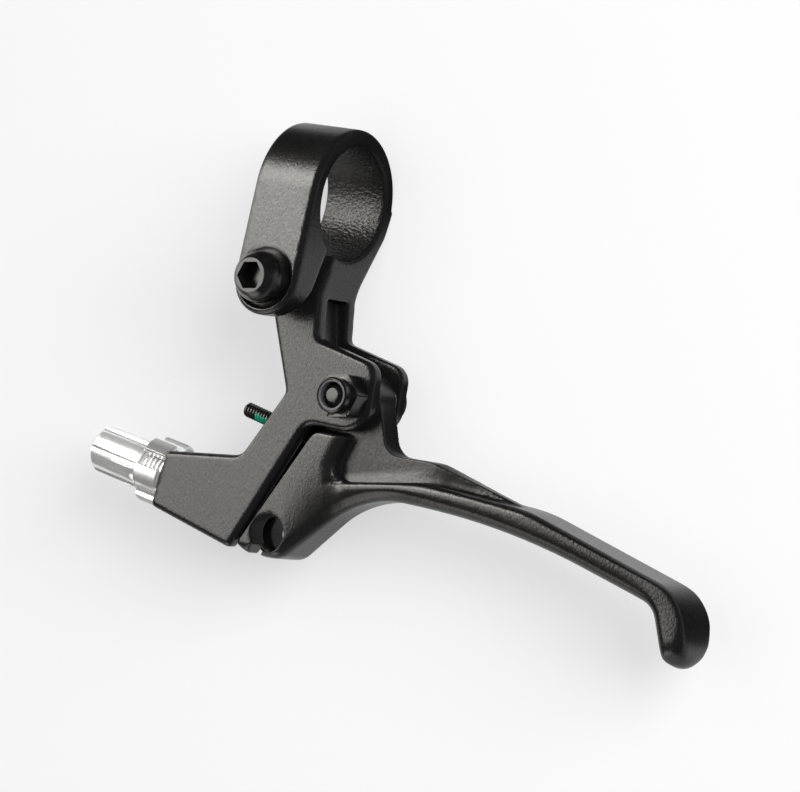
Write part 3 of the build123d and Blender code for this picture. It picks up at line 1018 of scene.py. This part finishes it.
class BRAKE_LEVER_OT_adjuster(bpy.types.Operator):
    """Makes the cable adjuster's head, its threaded shank and its lock nut in bright aluminium"""

    bl_idname = "brake_lever.adjuster"
    bl_label = "Adjuster"

    def execute(self, context):
        silver = polished_aluminium("adjuster_silver", look().silver, CABLE_DIR, BOSS_END)
        head = copy_of("adjuster_barrel", "adjuster_head")
        open_mesh(head)
        flat_cut(BARREL_SEAT - CABLE_DIR * SEAT_OVERLAP, CABLE_DIR, clear_inner=True)
        close_mesh()
        break_edges(head, sizes().edge_break * 1.5)
        dress(head, "adjuster_barrel", "adjuster", silver)

        shank = threaded_rod(
            "adjuster_shank",
            SHANK_R,
            sizes().adjuster_pitch,
            SHANK_THREAD_DEPTH,
            SHANK_LENGTH,
            BARREL_SEAT - CABLE_DIR * SHANK_LENGTH,
            CABLE_DIR,
            steps=40,
        )
        cut(shank, cable_hole_tool())
        cut(shank, cable_slot_tool())
        shade_thread(shank)
        dress(shank, None, "adjuster", silver)

        nut = copy_of("adjuster_lock_nut", "adjuster_lobes")
        break_edges(nut, sizes().edge_break * 2)
        # The lock nut's lobes get painted shade: their outer faces are darkened, and also made
        # rougher.
        milled = polished_aluminium(
            "lock_nut_shaded_silver", look().silver, CABLE_DIR, BOSS_END, LOBES_FROM
        )
        dress(nut, "adjuster_lock_nut", "lock_nut", milled)
        return {"FINISHED"}


# The stage
WHITE = (1, 1, 1)
FLOOR_SIZE = 6
FLOOR_GAP = 0.1 * MM
CARD_FEATHER = 0.25
LAMPS_AIM = Vector((10, -35, 0)) * MM
CAMERA_PLACE = Vector((383.9, -23.9, 583.5)) * MM
CAMERA_RIGHT = Vector((0.8383, 0.1650, -0.5196))
CAMERA_UP = Vector((-0.1487, 0.9862, 0.0732))
CAMERA_SENSOR = 36
CAMERA_SEES = (0.01, 20)
PHOTO_WIDTH = 800
PHOTO_FOCAL = 3600

# Black cards that reflections alone see: name, place, tilt, width and height in mm, soft edges
CARDS = (
    ("flag", (0, 42, 15.6), pi / 2, 320, 60, False),
    ("ring_card", (30, 17, -14.2), 0, 110, 60, True),
    ("cheek_card", (43, -36.5, -14.2), 0, 66, 16, True),
    ("hook_card", (115, -55.5, -14.2), 0, 70, 39, True),
)

# Lamps: name, direction, distance, width and height in m, setting for the level, a mirrored box
LAMPS = (
    ("soft_box", (-0.56, 0.24, 0.79), 0.75, 0.32, 0.70, "soft_box_level", True),
    ("top_box", (-0.54, 0.40, 0.72), 0.70, 0.22, 0.26, "top_box_level", True),
    ("side_box", (-0.90, 0.30, 0.36), 0.70, 0.30, 0.40, "side_box_level", True),
    ("low_box", (-0.25, -0.90, 0.33), 0.70, 0.50, 0.55, "low_box_level", True),
    ("key_lamp", (0.76, 0.36, 0.54), 1.60, 1.06, 1.06, "key_level", False),
    ("fill_lamp", (-0.15, 0.10, 1.00), 0.90, 1.20, 1.20, "fill_level", False),
)


def lay_floor(setting):
    """The white floor just below the object."""
    lowest = CAD_BOX[0][2]
    bpy.ops.object.select_all(action="DESELECT")
    bpy.ops.mesh.primitive_plane_add(size=FLOOR_SIZE, location=(0, 0, lowest - FLOOR_GAP))
    floor = bpy.context.object
    floor.name = "floor"
    floor.data.materials.append(
        white_sweep("floor_white", setting.floor_colour, setting.floor_share)
    )


def set_cards():
    """The black cards, which only glossy rays see: painted dark reflections in place of the white
    floor and room.
    """
    mirror_black = mirror_only_black("flag_painted_reflection", 0)
    soft_mirror_black = mirror_only_black("card_painted_reflection", CARD_FEATHER)
    for name, place, tilt, wide, tall, soft in CARDS:
        bpy.ops.object.select_all(action="DESELECT")
        bpy.ops.mesh.primitive_plane_add(size=1, location=Vector(place) * MM)
        flag = bpy.context.object
        flag.name = name
        flag.rotation_euler = (tilt, 0, 0)
        flag.scale = (wide * MM, tall * MM, 1)
        flag.data.materials.append(soft_mirror_black if soft else mirror_black)
        flag.visible_camera = False
        flag.visible_diffuse = False
        flag.visible_shadow = False
        flag.visible_transmission = False


def set_room(scene, level):
    """A plain white room of a brightness."""
    world = bpy.data.worlds.new("room")
    world.use_nodes = True
    room = Shader(world.node_tree)
    room.tree.nodes.clear()
    walls = room.node("ShaderNodeBackground", {}, {"Color": WHITE, "Strength": level})
    room.node("ShaderNodeOutputWorld", {}, {"Surface": walls})
    scene.world = world


def set_lamps(setting):
    """The soft boxes that glossy surfaces mirror, and the lamps that light the rest."""
    for name, direction, away, wide, tall, level, mirrored in LAMPS:
        bpy.ops.object.light_add(type="AREA")
        lamp = bpy.context.object
        lamp.name = name
        lamp.data.shape = "RECTANGLE"
        lamp.data.size = wide
        lamp.data.size_y = tall
        lamp.data.energy = getattr(setting, level) * pi * wide * tall
        lamp.data.color = setting.warm if mirrored else WHITE
        out = Vector(direction).normalized()
        side = Vector((0, 1, 0)).cross(out).normalized()
        turn = axes(side, out.cross(side), out)
        lamp.matrix_world = Matrix.Translation(LAMPS_AIM + out * away) @ turn
        lamp.visible_glossy = mirrored
        lamp.visible_diffuse = not mirrored


def set_camera(scene):
    """The camera at the photograph's angle."""
    bpy.ops.object.camera_add()
    camera = bpy.context.object
    camera.name = "photo_camera"
    turn = axes(CAMERA_RIGHT, CAMERA_UP, CAMERA_RIGHT.cross(CAMERA_UP))
    camera.matrix_world = Matrix.Translation(CAMERA_PLACE) @ turn
    camera.data.sensor_fit = "HORIZONTAL"
    camera.data.sensor_width = CAMERA_SENSOR
    camera.data.lens = CAMERA_SENSOR * PHOTO_FOCAL / PHOTO_WIDTH
    camera.data.clip_start, camera.data.clip_end = CAMERA_SEES
    scene.camera = camera


class BRAKE_LEVER_OT_stage(bpy.types.Operator):
    """Sets the floor, the black cards, the room, the lamps and the camera"""

    bl_idname = "brake_lever.stage"
    bl_label = "Stage"

    def execute(self, context):
        scene = context.scene
        setting = scene.brake_lever_stage
        scene.view_settings.view_transform = "Standard"
        lay_floor(setting)
        set_cards()
        set_room(scene, setting.world_level)
        set_lamps(setting)
        set_camera(scene)
        return {"FINISHED"}


class BRAKE_LEVER_PT_panel(bpy.types.Panel):
    """Lists the brake lever's steps and settings"""

    bl_idname = "BRAKE_LEVER_PT_panel"
    bl_label = "Brake lever"
    bl_space_type = "VIEW_3D"
    bl_region_type = "UI"
    bl_category = "Brake lever"

    def draw(self, context):
        for step in STEPS:
            self.layout.operator(step.bl_idname)
        scene = context.scene
        for group in (
            scene.brake_lever_sizes,
            scene.brake_lever_finishes,
            scene.brake_lever_stage,
        ):
            for name in group.__annotations__:
                self.layout.prop(group, name)


GROUPS = (LeverSizes, LeverFinishes, LeverStage)
STEPS = (
    BRAKE_LEVER_OT_stage,
    BRAKE_LEVER_OT_castings,
    BRAKE_LEVER_OT_fasteners,
    BRAKE_LEVER_OT_bearings,
    BRAKE_LEVER_OT_reach_screw,
    BRAKE_LEVER_OT_adjuster,
)
CLASSES = (*GROUPS, *STEPS, BRAKE_LEVER_PT_panel)


def register():
    for part in CLASSES:
        bpy.utils.register_class(part)
    bpy.types.Scene.brake_lever_sizes = PointerProperty(type=LeverSizes)
    bpy.types.Scene.brake_lever_finishes = PointerProperty(type=LeverFinishes)
    bpy.types.Scene.brake_lever_stage = PointerProperty(type=LeverStage)


def unregister():
    del bpy.types.Scene.brake_lever_stage
    del bpy.types.Scene.brake_lever_finishes
    del bpy.types.Scene.brake_lever_sizes
    for part in reversed(CLASSES):
        bpy.utils.unregister_class(part)


def main():
    register()
    bpy.ops.brake_lever.stage()
    bpy.ops.brake_lever.castings()
    bpy.ops.brake_lever.fasteners()
    bpy.ops.brake_lever.bearings()
    bpy.ops.brake_lever.reach_screw()
    bpy.ops.brake_lever.adjuster()


if __name__ == "__main__":
    main()
